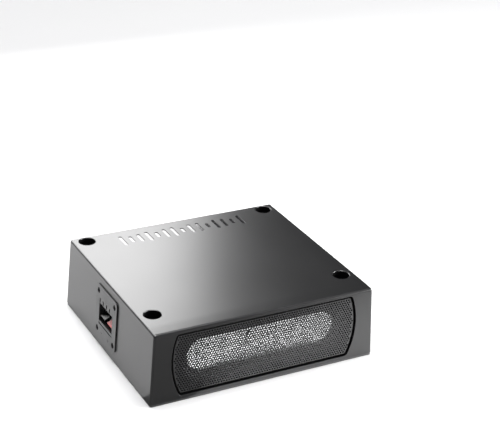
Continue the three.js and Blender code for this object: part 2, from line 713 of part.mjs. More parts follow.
piece('terminal_plate', seated(terminalPlate()), panelGrey);
const gasketHalfY = plateWidth / 2 - 0.6;
const gasketHalfZ = plateHeight / 2 - 0.6;
piece('terminal_gasket', seated(cut(
  prism(roundedRect(2 * gasketHalfY, 2 * gasketHalfZ, 5, terminalY, terminalZ), 'x',
    left - terminalGasket + 0.05, left - 0.05, 3),
  [
    block([left - 2, left + 1], [terminalY - housingHalf - fit, terminalY + housingHalf + fit],
      [housingBottom - fit, housingTop + fit]),
    ...terminalScrewPlaces().map((place) => bar('x', place, 1.6, left - 2, left + 1, 8)),
  ])), foam);
terminalScrewPlaces().forEach((place, i) => piece(`terminal_screw_${i + 1}`,
  seated(countersunkScrew('x', place, plateFace + 0.2, 3.2, 0.9, 1.3, 9)), darkSteel));
piece('lever_black', seated(lever(leverPlaces.black)), blackPlastic);
piece('lever_red', seated(lever(leverPlaces.red)), redPlastic);
piece('lever_pin', seated(bar('y', [plateFace + pivotDepth, pivotZ], pinRadius,
  terminalY - housingHalf + 0.2, terminalY + housingHalf - 0.2, 16)), steel);
piece('clip_spring_black', seated(clipSpring(leverPlaces.black)), steel);
piece('clip_spring_red', seated(clipSpring(leverPlaces.red)), steel);
piece('terminal_cover', seated(terminalCover()), blackPlastic);
piece('signal_socket', seated(signalSocket()), steel);

// ---------------------------------------------------------------- amplifier
const boardTop = boardZ + boardThickness;
const boardMiddleY = (boardY[0] + boardY[1]) / 2;

/** Circuit board with its soldered headers. */
function ampBoard() {
  const board = block(boardX, boardY, [boardZ, boardTop]);
  const headers = [
    block([-94, -84], [26, 46], [boardTop - 0.1, boardTop + 9]),
    block([-94, -84], [52, 66], [boardTop - 0.1, boardTop + 9]),
    block([8, 20], [26, 40], [boardTop - 0.1, boardTop + 9]),
  ];
  return union([board, ...headers]);
}

/** Aluminium block on the base plate: a raised bed for the power chip and four posts. */
function ampHeatBlock() {
  const foot = block([boardX[0] + 2, boardX[1] - 2], [boardY[0] + 2, boardY[1] - 2],
    [baseThickness + slip, 5]);
  const bed = block([-50, -10], [62, 84], [4.9, 10.4]);
  const posts = [boardX[0] + 6, boardX[1] - 6].flatMap((x) => [boardY[0] + 6, boardY[1] - 6].map(
    (y) => bar('z', [x, y], 3, 4.9, boardZ - slip, 10)));
  return union([foot, bed, ...posts]);
}

/** A winding on a ring core, lying on the board. */
function inductor() {
  const [ring, coreRadius] = [9, 4];
  const core = new THREE.LatheGeometry(Array.from({ length: 11 }, (_, i) => {
    const angle = -(2 * Math.PI * i) / 10;
    return new THREE.Vector2(ring + coreRadius * Math.cos(angle), -coreRadius * Math.sin(angle));
  }), 16);
  core.rotateX(Math.PI / 2);
  core.translate(-8, boardMiddleY - 12, boardTop + coreRadius + 0.2);
  return solid(core);
}

piece('amp_board', ampBoard(), boardGreen);
piece('amp_heat_block', ampHeatBlock(), aluminium);
piece('amp_chip', block([-44, -16], [64, 82], [10.5, boardZ - slip]), blackPlastic);
piece('amp_inductor', inductor(), copper);
[-62, -40].forEach((x, i) => piece(`amp_capacitor_${i + 1}`,
  bar('z', [x, boardMiddleY - 10], 8, boardTop + slip, boardTop + 26, 16), blackPlastic));

// ---------------------------------------------------------------- wiring
const headerTop = boardTop + 9;
/** A supply lead from a terminal tab to a pin of the supply header. */
const supplyLead = (fromY, toX, toY) => wire([
  seatedPoint([tabEnd + 0.4, fromY, 30.4]), seatedPoint([tabEnd + 5, fromY + 1, 30.6]),
  [toX - 3, (fromY + toY) / 2, 33],
  [toX, toY - 1, 31], [toX, toY, headerTop + 0.4],
], 1.3);
piece('supply_wire_red', supplyLead(leverPlaces.red, -86.4, 31), redWire);
piece('supply_wire_black', supplyLead(leverPlaces.black, -91.6, 41), blackWire);

piece('signal_cable', wire([
  seatedPoint([plateFace + windowDepth + housingWall + 6.4, terminalY + 4, 56.2]),
  seatedPoint([-107, terminalY + 4, 56]),
  [-98, 18, 52], [-90, 40, 46], [-88, 54, 38], [-89, 59, 31], [-89, 59, headerTop + 0.4],
], 1.8), blackWire);

/** A speaker lead from the output header to a solder tag. */
const speakerLead = (fromX, tagX) => wire([
  [fromX, 33, headerTop + 0.4], [fromX + 2, 31, 32], [fromX + 20, 12, 34],
  [tagX - 4, -30, 37], [tagX, -62, axisZ - 1], [tagX, webFront + webThickness + 7.4, axisZ],
], 1.1);
piece('speaker_wire_red', speakerLead(17, tagPlaces[1]), redWire);
piece('speaker_wire_black', speakerLead(11, tagPlaces[0]), blackWire);

// The origin is the middle of the footprint, terminal panel included.
const footprint = new THREE.Box3().setFromObject(object);
object.position.x = -(footprint.min.x + footprint.max.x) / 2;

export default object;
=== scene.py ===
"""Looks of the powered car subwoofer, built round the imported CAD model.

Lengths are millimetres in the box's own frame (origin under the box's middle) until a piece is
finished; the part's origin is ORIGIN_SHIFT further left, because its footprint takes in the
terminal panel.
"""

import json
import math

import bmesh
import bpy
from mathutils import Matrix, Vector, geometry

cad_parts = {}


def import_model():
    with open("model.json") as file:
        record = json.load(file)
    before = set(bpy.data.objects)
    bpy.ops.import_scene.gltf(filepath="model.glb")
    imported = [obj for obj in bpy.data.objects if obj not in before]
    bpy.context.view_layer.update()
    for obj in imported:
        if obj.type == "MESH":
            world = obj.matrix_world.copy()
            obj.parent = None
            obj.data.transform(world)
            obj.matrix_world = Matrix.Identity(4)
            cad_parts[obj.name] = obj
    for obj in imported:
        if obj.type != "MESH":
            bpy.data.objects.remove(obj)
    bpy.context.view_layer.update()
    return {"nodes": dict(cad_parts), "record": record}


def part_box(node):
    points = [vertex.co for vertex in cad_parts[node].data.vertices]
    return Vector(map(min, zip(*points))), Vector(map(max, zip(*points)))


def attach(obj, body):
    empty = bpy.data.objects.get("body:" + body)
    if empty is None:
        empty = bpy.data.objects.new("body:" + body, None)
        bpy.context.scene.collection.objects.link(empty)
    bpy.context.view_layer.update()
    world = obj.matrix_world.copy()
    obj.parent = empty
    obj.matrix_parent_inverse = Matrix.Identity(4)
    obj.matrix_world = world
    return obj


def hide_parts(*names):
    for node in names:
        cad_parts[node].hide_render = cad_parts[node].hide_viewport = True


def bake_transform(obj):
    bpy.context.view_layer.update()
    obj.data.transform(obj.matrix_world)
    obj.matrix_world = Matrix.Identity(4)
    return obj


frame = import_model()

MM = 0.001
ORIGIN_SHIFT = 0.508
NODES = frame["nodes"]
BODY_OF = {node: body for body, members in frame["record"]["behaviour"]["bodies"].items()
           for node in members}
SLOT_OF = {row["node"]: row["material_slot"] for row in frame["record"]["subparts"]}

# ---------------------------------------------------------------- dimensions, as in the CAD model
WIDTH, DEPTH, HEIGHT, WALL = 256.0, 232.0, 82.0, 3.0  # at the top
FLARE_X, FLARE_Y = 4.3, 2.5  # how far each side leans out between the top and the underside
LEFT, RIGHT, FRONT, BACK = -WIDTH / 2, WIDTH / 2, -DEPTH / 2, DEPTH / 2
SHELL_BOTTOM = 2.6
EDGE_ROUND = 2.5
BOLTS = [(x, y) for x in (-112, 112) for y in (-76, 104)]
BOLT_BORE, TOWER_RADIUS, TOWER_FLOOR, BUSH_HOLE = 9.25, 11.8, 8.0, 4.8
BASE_SCREWS = [(-125.2, -30), (125.2, -30), (-125.2, 62), (125.2, 62), (0, 111.6), (0, -98)]
OPENING_TOP, OPENING_BOTTOM, OPENING_HALF = 77.5, 6.0, 109.0
BOW_RADIUS, BOW_Z, OPENING_CORNER = 85.0, 45.0, 4.0
GRILLE_FACE, GRILLE_SHEET, GRILLE_GAP = FRONT + 1.2, 1.0, 0.8
AXIS_Z, TRACK_HALF = 41.75, 67.5
FLANGE_FRONT = -105.2
CONE_RADIUS, CONE_RIM_Y, CONE_DEPTH, FORMER = 21.5, -104.4, 9.0, 13.0
NECK_Y = CONE_RIM_Y + CONE_DEPTH
WEB_FRONT = -86.0
PLATE_FACE, TERMINAL_Y, TERMINAL_Z = -129.5, 2.0, 41.6
# takes the terminal from an upright side onto the leaning one
SEAT = (Matrix.Translation((LEFT - FLARE_X * (1 - TERMINAL_Z / HEIGHT), 0, TERMINAL_Z))
        @ Matrix.Rotation(math.atan(FLARE_X / HEIGHT), 4, "Y")
        @ Matrix.Translation((-LEFT, 0, -TERMINAL_Z)))


# ---------------------------------------------------------------- shader nodes
def node(tree, kind, settings=None, **inputs):
    """A shader node with its properties, and its inputs by name; an input may be another's output."""
    made = tree.nodes.new(kind)
    for key, value in (settings or {}).items():
        setattr(made, key, value)
    for key, value in inputs.items():
        socket = made.inputs[key.replace("_", " ")]
        if isinstance(value, bpy.types.NodeSocket):
            tree.links.new(value, socket)
        else:
            socket.default_value = value
    return made


def blend_colours(tree, factor, low, high):
    """A colour between two, each a constant or another node's output: the colour socket."""
    mix = tree.nodes.new("ShaderNodeMix")
    mix.data_type = "RGBA"
    tree.links.new(factor, mix.inputs[0])
    for socket, value in ((mix.inputs[6], low), (mix.inputs[7], high)):
        if isinstance(value, bpy.types.NodeSocket):
            tree.links.new(value, socket)
        else:
            socket.default_value = (*value, 1)
    return mix.outputs[2]


def remap(tree, value, low, high, from_low, from_high):
    """A value taken from one range to another: the value socket."""
    made = node(tree, "ShaderNodeMapRange", Value=value, From_Min=from_low, From_Max=from_high,
                To_Min=low, To_Max=high)
    return made.outputs["Result"]


def relief(tree, kind, scale, stretch):
    """A height pattern in object space, a weave unless the kind names another: the value socket."""
    coords = tree.nodes.new("ShaderNodeTexCoord").outputs["Object"]
    place = node(tree, "ShaderNodeMapping", Vector=coords, Scale=stretch).outputs["Vector"]
    if kind == "grain":
        return node(tree, "ShaderNodeTexNoise", Vector=place, Scale=scale, Detail=3.0).outputs["Fac"]
    if kind == "cells":
        return node(tree, "ShaderNodeTexVoronoi", Vector=place, Scale=scale).outputs["Distance"]
    if kind == "rings":
        return node(tree, "ShaderNodeTexWave", {"wave_type": "RINGS", "rings_direction": "Y"},
                    Vector=place, Scale=scale, Distortion=0.3, Detail=1.0).outputs["Fac"]
    if kind == "turns":
        return node(tree, "ShaderNodeTexWave", {"bands_direction": "Y"}, Vector=place,
                    Scale=scale).outputs["Fac"]
    across = node(tree, "ShaderNodeTexWave", {"bands_direction": "X"}, Vector=place, Scale=scale)
    along = node(tree, "ShaderNodeTexWave", {"bands_direction": "Z"}, Vector=place, Scale=scale)
    weave = tree.nodes.new("ShaderNodeMath")
    weave.operation = "MULTIPLY"
    tree.links.new(across.outputs["Fac"], weave.inputs[0])
    tree.links.new(along.outputs["Fac"], weave.inputs[1])
    return weave.outputs[0]


CLOUD_RANGE = (0.3, 0.7)  # most of the cloud noise lies between these


def material(name, colour, rough, metal=0.0, kind="grain", scale=2500.0, stretch=(1, 1, 1),
             depth=0.00002, bump=0.25, vary=0.12, rough_vary=0.06, cloud=40.0, **sockets):
    """A procedural finish: a fine relief, cloudy colour and roughness changes, and shader constants."""
    made = bpy.data.materials.new(name)
    made.use_nodes = True
    tree = made.node_tree
    shader = tree.nodes["Principled BSDF"]
    height = relief(tree, kind, scale, stretch)
    coords = tree.nodes.new("ShaderNodeTexCoord").outputs["Object"]
    clouds = node(tree, "ShaderNodeTexNoise", Vector=coords, Scale=cloud, Detail=4.0).outputs["Fac"]
    dark = [c * (1 - vary) for c in colour]
    light = [min(c * (1 + vary), 1) for c in colour]
    soft = blend_colours(tree, clouds, dark, light)
    fine = blend_colours(tree, height, [c * (1 - vary) for c in dark], soft)
    tree.links.new(fine, shader.inputs["Base Color"])
    tree.links.new(remap(tree, clouds, rough - rough_vary, rough + rough_vary, *CLOUD_RANGE),
                   shader.inputs["Roughness"])
    raised = node(tree, "ShaderNodeBump", Height=height, Strength=bump, Distance=depth)
    tree.links.new(raised.outputs["Normal"], shader.inputs["Normal"])
    shader.inputs["Metallic"].default_value = metal
    for key, value in sockets.items():
        shader.inputs[key.replace("_", " ")].default_value = value
    return made


FINISH = {
    "enclosure": material("shell_paint", (0.005, 0.0052, 0.0057), 0.30, scale=3200, depth=0.000012,
                          bump=0.30, rough_vary=0.015, vary=0.18, cloud=9, IOR=1.9),
    "base": material("base_coat", (0.060, 0.060, 0.062), 0.40, scale=2600, bump=0.3, IOR=1.9),
    "bush_steel": material("turned_steel", (0.50, 0.51, 0.53), 0.30, 1.0, kind="turns", scale=900,
                           bump=0.15),
    "screw_black": material("black_oxide", (0.003, 0.003, 0.0035), 0.6, scale=4000, IOR=1.15),
    "seal_rubber": material("foam_rubber", (0.012, 0.012, 0.012), 0.85, kind="cells", scale=1800,
                            depth=0.00008, bump=0.5),
    # Painted shade, in part: the baffle's fibreboard is near-black, partly as black front paint and
    # partly as painted shade. The trim, frame and surround below are darker than plain black plastic and
    # rubber, so the space behind the grille holes looks shaded.
    "baffle_board": material("fibreboard_black_and_shade", (0.005, 0.0045, 0.004), 0.85, scale=700,
                             stretch=(1, 3, 1), depth=0.00008, bump=0.4, vary=0.25),
    "grille_steel": material("grille_coat", (0.022, 0.022, 0.023), 0.34, scale=3500,
                             depth=0.00001, bump=0.25, IOR=1.9),
    "trim_plastic": material("trim_black", (0.004, 0.004, 0.0043), 0.6, scale=2800, bump=0.35, IOR=1.25),
    "frame_plastic": material("frame_black", (0.006, 0.006, 0.0065), 0.6, scale=2200,
                              stretch=(1, 1, 3), bump=0.3),
    "surround_rubber": material("surround_rubber", (0.006, 0.006, 0.0065), 0.6, scale=1500,
                                bump=0.2),
    "cone_metal": material("cone_satin", (0.88, 0.89, 0.90), 0.42, kind="rings", scale=220,
                           stretch=(0.35, 1, 1), depth=0.00003, bump=0.12, vary=0.06),
    "former_aluminium": material("former_foil", (0.60, 0.60, 0.62), 0.32, 1.0, scale=1500),
    "coil_copper": material("copper_wire", (0.62, 0.26, 0.11), 0.32, 1.0, kind="turns", scale=700,
                            depth=0.0001, bump=0.5),
    "spider_cloth": material("spider_cloth", (0.50, 0.34, 0.13), 0.9, kind="weave", scale=420,
                             depth=0.0002, bump=0.6, vary=0.2, Sheen_Weight=0.3),
    "pole_steel": material("plated_steel", (0.46, 0.47, 0.48), 0.34, 1.0, kind="rings", scale=260,
                           bump=0.15),
    "magnet_ferrite": material("ferrite", (0.035, 0.035, 0.037), 0.6, scale=1100, depth=0.00006,
                               bump=0.4),
    "tag_board": material("phenolic", (0.22, 0.11, 0.045), 0.5, kind="weave", scale=500, bump=0.2),
    "terminal_plastic": material("panel_plastic", (0.016, 0.0163, 0.017), 0.36, scale=2600,
                                 bump=0.3, IOR=1.9),
    "lever_black": material("lever_black", (0.007, 0.007, 0.008), 0.28, scale=1800, bump=0.1),
    "lever_red": material("lever_red", (0.62, 0.028, 0.024), 0.32, scale=1800, bump=0.1, vary=0.08),
    "contact_steel": material("nickel", (0.66, 0.65, 0.62), 0.22, 1.0, scale=1800,
                              stretch=(1, 1, 8), bump=0.15),
    "board": material("solder_mask", (0.016, 0.11, 0.05), 0.35, kind="cells", scale=260,
                      depth=0.00004, bump=0.3, vary=0.3),
    "heat_aluminium": material("machined_aluminium", (0.62, 0.63, 0.65), 0.32, 1.0, scale=900,
                               stretch=(1, 14, 1), bump=0.2),
    "chip": material("chip_epoxy", (0.014, 0.014, 0.015), 0.6, scale=3500, bump=0.3),
    "capacitor": material("capacitor_sleeve", (0.016, 0.017, 0.022), 0.25, scale=500, bump=0.1),
    "wire_red": material("wire_red", (0.50, 0.020, 0.018), 0.42, scale=1600, bump=0.15),
    "wire_black": material("wire_black", (0.012, 0.012, 0.013), 0.45, scale=1600, bump=0.15),
}
MOTIF_FLOOR = material("polished_paint", (0.012, 0.0123, 0.013), 0.12, scale=3200, bump=0.05,
                       rough_vary=0.02, IOR=2.2)
# Painted shade: the grille's rolled shoulder and return rim are near-black, rough and nearly without
# gloss, so the gap round the grille looks shadowed.
GAP_SHADE = material("painted_gap_shade", (0.004, 0.004, 0.004), 0.75, scale=2600, IOR=1.2)


# ---------------------------------------------------------------- mesh helpers
def skin(bm, rings, closed=False):
    """Quads through rings of points. The two ends get faces, or meet where the skin is closed."""
    rows = [[bm.verts.new(p) for p in ring] for ring in rings]
    count = len(rows[0])
    for k in range(len(rows) if closed else len(rows) - 1):
        low, high = rows[k], rows[(k + 1) % len(rows)]
        for i in range(count):
            j = (i + 1) % count
            bm.faces.new((low[i], low[j], high[j], high[i]))
    if not closed:
        bm.faces.new(reversed(rows[0]))
        bm.faces.new(rows[-1])
    return rows


def facing_out(bm):
    bmesh.ops.recalc_face_normals(bm, faces=bm.faces)
    return bm


def block(bm, xs, ys, zs, place=Matrix()):
    """A box between two corners, moved by a matrix."""
    skin(bm, [[place @ Vector((x, y, z)) for x, y in
               ((xs[0], ys[0]), (xs[1], ys[0]), (xs[1], ys[1]), (xs[0], ys[1]))] for z in zs])


def lathe(bm, axis, centre, profile, sides=48):
    """A round plug along an axis. The profile is (radius, position along the axis)."""
    place = {
        "z": lambda u, v, w: (centre[0] + u, centre[1] + v, w),
        "y": lambda u, v, w: (centre[0] + u, w, centre[1] + v),
        "x": lambda u, v, w: (w, centre[0] + u, centre[1] + v),
    }[axis]
    skin(bm, [[place(r * math.cos(2 * math.pi * i / sides), r * math.sin(2 * math.pi * i / sides), w)
               for i in range(sides)] for r, w in profile])


def leant(points):
    """Points of an upright front face, brought onto the leaning one."""
    return [(x, y - FLARE_Y * (1 - z / HEIGHT), z) for x, y, z in points]


def flared(x, y, z):
    """A point of an upright side, brought onto the leaning one."""
    share = 1 - z / HEIGHT
    return x * (1 + share * FLARE_X / RIGHT), y * (1 + share * FLARE_Y / BACK), z


def mesh_object(name, bm):
    mesh = bpy.data.meshes.new(name)
    bm.to_mesh(mesh)
    bm.free()
    made = bpy.data.objects.new(name, mesh)
    bpy.context.scene.collection.objects.link(made)
    return made


def apply_modifiers(obj):
    graph = bpy.context.evaluated_depsgraph_get()
    mesh = bpy.data.meshes.new_from_object(obj.evaluated_get(graph))
    mesh.name = obj.name
    obj.modifiers.clear()
    obj.data = mesh


def combine(target, operation, build):
    """A boolean of the target with the closed shells that build adds to a fresh bmesh."""
    bm = bmesh.new()
    build(bm)
    tool = mesh_object("tool", facing_out(bm))
    change = target.modifiers.new("boolean", "BOOLEAN")
    change.operation, change.solver, change.object = operation, "EXACT", tool
    apply_modifiers(target)
    bpy.data.objects.remove(tool)


def shade(obj, angle=35):
    """Smooth shading with sharp edges above an angle, and normals that keep flat faces flat."""
    mesh = obj.data
    mesh.polygons.foreach_set("use_smooth", [True] * len(mesh.polygons))
    mesh.set_sharp_from_angle(angle=math.radians(angle))
    weigh = obj.modifiers.new("weigh", "WEIGHTED_NORMAL")
    weigh.keep_sharp = True
    apply_modifiers(obj)


def settle(obj, replaced, blended=False, angle=35):
    """Takes a piece from millimetres to the part's frame, and gives it the finish of the CAD node that
    it replaces and, unless it is blended, that node's body."""
    obj.data.transform(Matrix.Scale(MM, 4) @ Matrix.Translation((ORIGIN_SHIFT, 0, 0)))
    slot = SLOT_OF[replaced]
    if not obj.data.materials:
        obj.data.materials.append(FINISH[slot])
    shade(obj, angle)
    if not blended:
        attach(obj, BODY_OF[replaced])
    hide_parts(replaced)
    return obj


# ---------------------------------------------------------------- outlines
CORNER_STEPS, BOW_STEPS, RUN_STEPS = 8, 28, 60  # along the opening's corners, bows and straight runs
TRACK_ARC_STEPS, TRACK_RUN_STEPS = 32, 24


def arc(cx, cy, radius, start, end, steps):
    return [(cx + radius * math.cos(start + (end - start) * i / steps),
             cy + radius * math.sin(start + (end - start) * i / steps)) for i in range(steps + 1)]


def line_between(a, b, steps):
    """The inner points of a straight run."""
    return [(a[0] + (b[0] - a[0]) * i / steps, a[1] + (b[1] - a[1]) * i / steps)
            for i in range(1, steps)]


def opening_loop(inset):
    """The grille opening's outline in (x, z), counter-clockwise, with the same points at any inset."""
    corner = max(OPENING_CORNER - inset, 0.8)
    bow = BOW_RADIUS - inset
    bow_x = OPENING_HALF - BOW_RADIUS
    quarter = math.pi / 2

    def corner_at(z):
        rise = z - BOW_Z
        x = bow_x + math.sqrt((bow - corner) ** 2 - rise ** 2)
        return x, z, math.atan2(rise, x - bow_x)

    lx, lz, la = corner_at(OPENING_BOTTOM + inset + corner)
    hx, hz, ha = corner_at(OPENING_TOP - inset - corner)
    right_side = (arc(lx, lz, corner, -quarter, la, CORNER_STEPS)[:-1]
                  + arc(bow_x, BOW_Z, bow, la, ha, BOW_STEPS)[:-1]
                  + arc(hx, hz, corner, ha, quarter, CORNER_STEPS))
    left_side = [(-x, z) for x, z in reversed(right_side)]
    top = line_between(right_side[-1], left_side[0], RUN_STEPS)
    bottom = line_between(left_side[-1], right_side[0], RUN_STEPS)
    return right_side + top + left_side + bottom


def track_loop(radius):
    """Two half circles joined by straight runs, with the same points at any radius."""
    quarter = math.pi / 2
    right_end = arc(TRACK_HALF, 0, radius, -quarter, quarter, TRACK_ARC_STEPS)
    left_end = [(-x, -z) for x, z in right_end]
    return (right_end + line_between(right_end[-1], left_end[0], TRACK_RUN_STEPS) + left_end
            + line_between(left_end[-1], right_end[0], TRACK_RUN_STEPS))


def at_y(loop, y, z=0.0):
    """A flat loop of (x, z) stood up at a depth y, and raised by z."""
    return [(p[0], y, z + p[1]) for p in loop]


# ---------------------------------------------------------------- enclosure
MOTIF_BARS, MOTIF_PITCH, MOTIF_BAR = 15, 10.6, 4.0
MOTIF_TALL, MOTIF_Y, MOTIF_DEPTH = 23.0, 90.0, 0.6
FRONT_SLOPE, FRONT_DROP = 16.5, 0.4  # behind its front edge the top rises by the drop over the slope
FRONT_ROUND, CREASE_ROUND = 3.2, 2.0
RIM_ROUND = 0.9  # at the mouths of the four corner holes
RIB_REACH, RIB_START, RIB_HALF = 13.6, 0.6, 2.0  # ribs begin at this share of their reach
BOSS_RADIUS, BOSS_TOP, PILOT_RADIUS, PILOT_TOP = 4.4, 18.0, 1.25, 14.0
PANEL_HALF, PANEL_LOW, PANEL_HIGH = 20.8, 22.7, 62.3  # the hole behind the terminal panel


def motif_bars(bm):
    """The sunk bars' cutters, with drafted sides."""
    for i in range(MOTIF_BARS):
        x = (i - (MOTIF_BARS - 1) / 2) * MOTIF_PITCH
        tall = MOTIF_TALL * (0.42 + 0.58 * abs(math.sin((i + 1.5) * 1.1)))
        rings = []
        for z, grow in ((HEIGHT - MOTIF_DEPTH, -0.1), (HEIGHT - 0.12, 0.0), (HEIGHT - 0.03, 0.05),
                        (HEIGHT + 0.02, 0.14), (HEIGHT + 1, 0.2)):
            r = MOTIF_BAR / 2 + grow
            run = tall / 2 - MOTIF_BAR / 2
            points = (arc(x, MOTIF_Y + run, r, 0, math.pi, 10)
                      + arc(x, MOTIF_Y - run, r, math.pi, 2 * math.pi, 10))
            rings.append([(px, py, z) for px, py in points])
        skin(bm, rings)


def rounded_shell():
    """The box's outer form: leaning sides, rounded uprights and top edges, an eased front strip."""
    bm = bmesh.new()
    strips = [FRONT, FRONT + FRONT_SLOPE, BACK]
    low = [[bm.verts.new(flared(x, y, SHELL_BOTTOM)) for y in strips] for x in (LEFT, RIGHT)]
    high = [[bm.verts.new((x, y, HEIGHT - (FRONT_DROP if y == FRONT else 0))) for y in strips]
            for x in (LEFT, RIGHT)]
    for k in (0, 1):
        bm.faces.new((high[0][k], high[1][k], high[1][k + 1], high[0][k + 1]))
        bm.faces.new((low[0][k], low[0][k + 1], low[1][k + 1], low[1][k]))
        for s in (0, 1):
            bm.faces.new((low[s][k], high[s][k], high[s][k + 1], low[s][k + 1]))
    for k in (0, 2):
        bm.faces.new((low[0][k], low[1][k], high[1][k], high[0][k]))
    shell = mesh_object("shell", facing_out(bm))
    rounding = shell.data.attributes.new("bevel_weight_edge", "FLOAT", "EDGE")
    for edge, weight in zip(shell.data.edges, rounding.data):
        a, b = (shell.data.vertices[i].co for i in edge.vertices)
        if max(a.z, b.z) < HEIGHT / 2:
            continue
        upright = abs(a.z - b.z) > HEIGHT / 2
        across = abs(a.x - b.x) > WIDTH / 2
        middle = abs(a.y - strips[1]) < 1 and abs(b.y - strips[1]) < 1
        if upright and not middle:
            weight.value = EDGE_ROUND / FRONT_ROUND
        elif across and middle:
            weight.value = CREASE_ROUND / FRONT_ROUND
        elif not middle:
            weight.value = 1.0 if across and a.y < 0 else EDGE_ROUND / FRONT_ROUND
    bevel = shell.modifiers.new("rounding", "BEVEL")
    bevel.width, bevel.segments, bevel.limit_method = FRONT_ROUND, 8, "WEIGHT"
    apply_modifiers(shell)
    return shell


def bore_profile(radius, low, top, steps=6):
    """A bore whose rim is rounded over."""
    turns = [math.pi / 2 * k / steps for k in range(steps + 1)]
    rim = [(radius + RIM_ROUND * (1 - math.cos(a)), top - RIM_ROUND * (1 - math.sin(a)))
           for a in turns]
    return [(radius, low), *rim, (radius + RIM_ROUND, top + 1)]


def hollow(bm):
    x, y = RIGHT - WALL, BACK - WALL
    skin(bm, [[flared(*p, z) for p in ((-x, -y), (x, -y), (x, y), (-x, y))]
              for z in (-10, HEIGHT - WALL)])


def bolt_towers(bm):
    for place in BOLTS:
        lathe(bm, "z", place, [(TOWER_RADIUS, SHELL_BOTTOM), (TOWER_RADIUS, HEIGHT - 1)])


def ribs_and_bosses(bm):
    """A rib from each tower to the side, and the base screws' bosses. The front one needs none."""
    for x, y in BOLTS:
        reach = math.copysign(RIB_REACH, x)
        block(bm, sorted((x + reach * RIB_START, x + reach)), (y - RIB_HALF, y + RIB_HALF),
              (SHELL_BOTTOM, HEIGHT - 1))
    for place in BASE_SCREWS[:-1]:
        lathe(bm, "z", place, [(BOSS_RADIUS, SHELL_BOTTOM), (BOSS_RADIUS, BOSS_TOP)], 24)


def grille_opening(bm):
    """The opening's cutter, which eases the edge of the front face."""
    rings = [(FRONT - 1, -0.22), (FRONT + 0.01, -0.22), (FRONT + 0.06, -0.1),
             (FRONT + 0.14, -0.03), (FRONT + 0.25, 0.0), (FRONT + WALL + 1, 0.0)]
    skin(bm, [leant(at_y(opening_loop(inset), y)) for y, inset in rings])


def bores_and_openings(bm):
    for place in BOLTS:
        lathe(bm, "z", place, bore_profile(BOLT_BORE, TOWER_FLOOR, HEIGHT), 64)
    for place in BASE_SCREWS:
        lathe(bm, "z", place, [(PILOT_RADIUS, 0), (PILOT_RADIUS, PILOT_TOP)], 16)
    motif_bars(bm)
    grille_opening(bm)
    block(bm, (LEFT - 2, LEFT + WALL + 2), (TERMINAL_Y - PANEL_HALF, TERMINAL_Y + PANEL_HALF),
          (PANEL_LOW, PANEL_HIGH), SEAT)


def bush_holes(bm):
    for place in BOLTS:
        lathe(bm, "z", place, [(BUSH_HOLE, 0), (BUSH_HOLE, TOWER_FLOOR + 0.5)])


def enclosure():
    shell = rounded_shell()
    combine(shell, "DIFFERENCE", hollow)
    combine(shell, "UNION", bolt_towers)
    combine(shell, "UNION", ribs_and_bosses)
    combine(shell, "DIFFERENCE", bores_and_openings)
    combine(shell, "DIFFERENCE", bush_holes)
    shell.data.materials.clear()
    shell.data.materials.append(FINISH["enclosure"])
    shell.data.materials.append(MOTIF_FLOOR)
    for face in shell.data.polygons:
        sunk = abs(face.center.z - (HEIGHT - MOTIF_DEPTH)) < 0.05 and face.normal.z > 0.9
        face.material_index = 1 if sunk else 0
    settle(shell, "enclosure_shell")


# ---------------------------------------------------------------- grille
HOLE_RADIUS, HOLE_PITCH, HOLE_SIDES = 1.1, 3.0, 12
SHEET_INSET = 1.9  # from the grille's outside to the flat part of its sheet
HOLE_CLEARANCE = 0.15
# from the flat sheet over the rounded shoulder and round the return rim: (inset, depth)
SHOULDER = [(1.6, 0.0), (1.2, 0.08), (0.8, 0.27), (0.4, 0.62), (0.12, 1.1), (0.0, 1.6),
            (0.0, 3.5), (0.1, 3.6), (1.3, 3.6), (1.4, 3.5)]


def hole_centres():
    """A staggered lattice kept clear of the sheet's rolled edge."""
    outline = opening_loop(GRILLE_GAP + SHEET_INSET + HOLE_CLEARANCE + HOLE_RADIUS)
    row_pitch = HOLE_PITCH * math.sqrt(3) / 2
    rows = int((OPENING_TOP - OPENING_BOTTOM) / 2 / row_pitch) + 1
    columns = int(OPENING_HALF / HOLE_PITCH) + 1
    centres = []
    for row in range(-rows, rows + 1):
        z = AXIS_Z + row * row_pitch
        crossings = sorted(
            a[0] + (z - a[1]) / (b[1] - a[1]) * (b[0] - a[0])
            for a, b in zip(outline, outline[1:] + outline[:1]) if (a[1] > z) != (b[1] > z))
        if not crossings:
            continue
        for column in range(-columns, columns + 1):
            x = (column + 0.5 * (row % 2)) * HOLE_PITCH
            if crossings[0] < x < crossings[-1]:
                centres.append((x, z))
    return centres


def inside_loop(point, loop):
    inside = False
    for a, b in zip(loop, loop[1:] + loop[:1]):
        if (a[1] > point.y) != (b[1] > point.y):
            if point.x < a[0] + (point.y - a[1]) / (b[1] - a[1]) * (b[0] - a[0]):
                inside = not inside
    return inside


def perforated_sheet(edge, centres):
    """The flat sheet between its edge and its holes: its points, its triangles, and for each point
    its number among the edge's points followed by the holes' points."""
    rim = len(edge)
    points = [Vector(p) for p in edge]
    lines = [(i, (i + 1) % rim) for i in range(rim)]
    for x, z in centres:
        start = len(points)
        points += [Vector((x + HOLE_RADIUS * math.cos(2 * math.pi * i / HOLE_SIDES),
                           z + HOLE_RADIUS * math.sin(2 * math.pi * i / HOLE_SIDES)))
                   for i in range(HOLE_SIDES)]
        lines += [(start + i, start + (i + 1) % HOLE_SIDES) for i in range(HOLE_SIDES)]
    flat, _, triangles, source, _, _ = geometry.delaunay_2d_cdt(points, lines, [], 0, 1e-6)
    origin = [min(group) for group in source]
    kept = []
    for triangle in triangles:
        owners = [origin[v] for v in triangle]
        if min(owners) < rim:
            middle = sum((flat[v] for v in triangle), Vector((0, 0))) / 3
            solid = max(owners) >= rim or inside_loop(middle, edge)
        else:
            solid = len({(owner - rim) // HOLE_SIDES for owner in owners}) > 1
        if solid:
            kept.append(triangle)
    return flat, kept, origin


